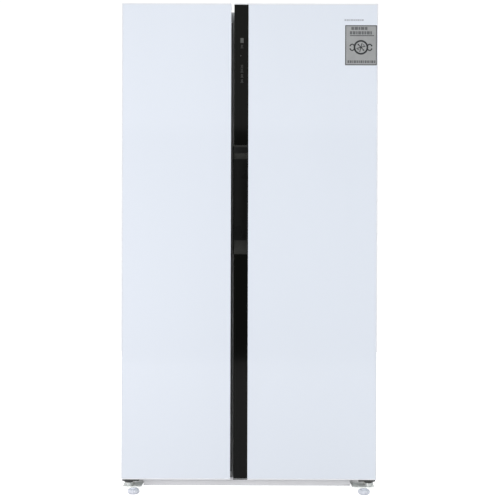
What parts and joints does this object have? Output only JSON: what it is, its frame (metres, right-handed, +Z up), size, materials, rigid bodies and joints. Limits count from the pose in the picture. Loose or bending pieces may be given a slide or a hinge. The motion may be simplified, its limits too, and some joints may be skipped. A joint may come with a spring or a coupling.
{
  "type": "side by side refrigerator",
  "caption": "Side by side refrigerator with white glass doors, a black centre strip with a recessed grip, shelves, drawers and door bins.",
  "frame": {"origin": "on the floor, below the middle of the overall box", "axes": "+Z up; the doors face -Y; the freezer is at -X and the refrigerator at +X"},
  "size_m": [0.91, 0.7, 1.761],
  "materials": {
    "door_glass": "white back-painted glass, polished",
    "black_glass": "black back-painted glass, polished",
    "shelf_glass": "clear toughened glass with a white front trim",
    "steel_white": "painted sheet steel, fine texture",
    "steel_zinc": "zinc plated",
    "steel_black": "black enamel",
    "coil_aluminium": "mill finish",
    "plastic_white": "satin",
    "plastic_grey": "matt",
    "plastic_black": "satin",
    "plastic_clear": "clear, gloss",
    "foam": "rigid insulating foam",
    "seal": "soft magnetic seal"
  },
  "bodies": {
    "cabinet": {"back_panel": "steel_white", "cabinet_foam": "foam", "cabinet_shell": "steel_white", "chassis": "steel_zinc", "compressor": "steel_black", "condenser_coil": "steel_black", "condenser_fan_motor": "steel_zinc", "drain_pan": "plastic_black", "evaporator_coil": "coil_aluminium", "freezer_duct_cover": "plastic_white", "freezer_liner": "plastic_white", "freezer_shelf_1": "shelf_glass", "freezer_shelf_2": "shelf_glass", "freezer_shelf_3": "shelf_glass", "front_frame": "steel_white", "hinge_cover_left": "plastic_white", "hinge_cover_right": "plastic_white", "kick_plate": "plastic_grey", "lower_hinge_left": "steel_zinc", "lower_hinge_right": "steel_zinc", "machine_room_cover": "plastic_black", "refrigerator_air_tower": "plastic_white", "refrigerator_liner": "plastic_white", "refrigerator_shelf_1": "shelf_glass", "refrigerator_shelf_2": "shelf_glass", "refrigerator_shelf_3": "shelf_glass", "upper_hinge_left": "steel_zinc", "upper_hinge_right": "steel_zinc"},
    "freezer_door": {"freezer_door_frame": "plastic_white", "freezer_door_foam": "foam", "freezer_door_glass": "door_glass", "freezer_door_liner": "plastic_white", "freezer_door_gasket": "seal", "freezer_grip_trim": "plastic_black", "freezer_bin_1": "plastic_clear", "freezer_bin_2": "plastic_clear", "freezer_bin_3": "plastic_clear"},
    "refrigerator_door": {"refrigerator_door_frame": "plastic_white", "refrigerator_door_foam": "foam", "refrigerator_door_glass": "door_glass", "refrigerator_door_liner": "plastic_white", "refrigerator_door_gasket": "seal", "handle_cup": "plastic_black", "centre_strip": "black_glass", "refrigerator_bin_1": "plastic_clear", "refrigerator_bin_2": "plastic_clear", "refrigerator_bin_3": "plastic_clear", "refrigerator_bin_4": "plastic_clear"},
    "freezer_drawer_upper_body": {"freezer_drawer_upper": "plastic_clear"},
    "freezer_drawer_lower_body": {"freezer_drawer_lower": "plastic_clear"},
    "crisper_drawer_upper_body": {"crisper_drawer_upper": "plastic_clear"},
    "crisper_drawer_lower_body": {"crisper_drawer_lower": "plastic_clear"},
    "freezer_door_switch_body": {"freezer_door_switch": "plastic_white"},
    "refrigerator_door_switch_body": {"refrigerator_door_switch": "plastic_white"},
    "evaporator_fan_body": {"evaporator_fan": "plastic_white"},
    "condenser_fan_body": {"condenser_fan": "plastic_black"},
    "levelling_foot_left_body": {"levelling_foot_left": "plastic_grey"},
    "levelling_foot_right_body": {"levelling_foot_right": "plastic_grey"},
    "rear_roller_left_body": {"rear_roller_left": "plastic_grey"},
    "rear_roller_right_body": {"rear_roller_right": "plastic_grey"}
  },
  "joints": [
    {"name": "freezer_door_hinge", "type": "hinge", "parent": "cabinet", "child": "freezer_door", "pos_m": [-0.431, -0.317, 1], "axis": [0, 0, -1], "range_deg": [0, 120]},
    {"name": "refrigerator_door_hinge", "type": "hinge", "parent": "cabinet", "child": "refrigerator_door", "pos_m": [0.431, -0.317, 1], "axis": [0, 0, 1], "range_deg": [0, 120]},
    {"name": "freezer_drawer_upper_slide", "type": "slide", "parent": "cabinet", "child": "freezer_drawer_upper_body", "axis": [0, -1, 0], "range_m": [0, 0.1681]},
    {"name": "freezer_drawer_lower_slide", "type": "slide", "parent": "cabinet", "child": "freezer_drawer_lower_body", "axis": [0, -1, 0], "range_m": [0, 0.1681]},
    {"name": "crisper_drawer_upper_slide", "type": "slide", "parent": "cabinet", "child": "crisper_drawer_upper_body", "axis": [0, -1, 0], "range_m": [0, 0.1681]},
    {"name": "crisper_drawer_lower_slide", "type": "slide", "parent": "cabinet", "child": "crisper_drawer_lower_body", "axis": [0, -1, 0], "range_m": [0, 0.1681]},
    {"name": "freezer_door_switch_slide", "type": "slide", "parent": "cabinet", "child": "freezer_door_switch_body", "axis": [0, -1, 0], "range_m": [0, 0.006]},
    {"name": "refrigerator_door_switch_slide", "type": "slide", "parent": "cabinet", "child": "refrigerator_door_switch_body", "axis": [0, -1, 0], "range_m": [0, 0.006]},
    {"name": "evaporator_fan_spin", "type": "hinge", "parent": "cabinet", "child": "evaporator_fan_body", "pos_m": [-0.249, 0.24, 1.12], "axis": [0, 1, 0], "continuous": true},
    {"name": "condenser_fan_spin", "type": "hinge", "parent": "cabinet", "child": "condenser_fan_body", "pos_m": [-0.02, 0.24, 0.165], "axis": [1, 0, 0], "continuous": true},
    {"name": "levelling_foot_left_turn", "type": "hinge", "parent": "cabinet", "child": "levelling_foot_left_body", "pos_m": [-0.418, -0.29, 0.02], "axis": [0, 0, 1], "continuous": true},
    {"name": "rear_roller_left_roll", "type": "hinge", "parent": "cabinet", "child": "rear_roller_left_body", "pos_m": [-0.405, 0.285, 0.018], "axis": [1, 0, 0], "continuous": true},
    {"name": "levelling_foot_right_turn", "type": "hinge", "parent": "cabinet", "child": "levelling_foot_right_body", "pos_m": [0.418, -0.29, 0.02], "axis": [0, 0, 1], "continuous": true},
    {"name": "rear_roller_right_roll", "type": "hinge", "parent": "cabinet", "child": "rear_roller_right_body", "pos_m": [0.405, 0.285, 0.018], "axis": [1, 0, 0], "continuous": true}
  ],
  "couplings": [
    {"joint": "freezer_drawer_upper_slide", "follows": "freezer_door_hinge", "m_per_rad": 0.08},
    {"joint": "freezer_drawer_lower_slide", "follows": "freezer_door_hinge", "m_per_rad": 0.08},
    {"joint": "crisper_drawer_upper_slide", "follows": "refrigerator_door_hinge", "m_per_rad": 0.08},
    {"joint": "crisper_drawer_lower_slide", "follows": "refrigerator_door_hinge", "m_per_rad": 0.08},
    {"joint": "freezer_door_switch_slide", "follows": "freezer_door_hinge", "m_per_rad": 0.0028},
    {"joint": "refrigerator_door_switch_slide", "follows": "refrigerator_door_hinge", "m_per_rad": 0.0028}
  ]
}
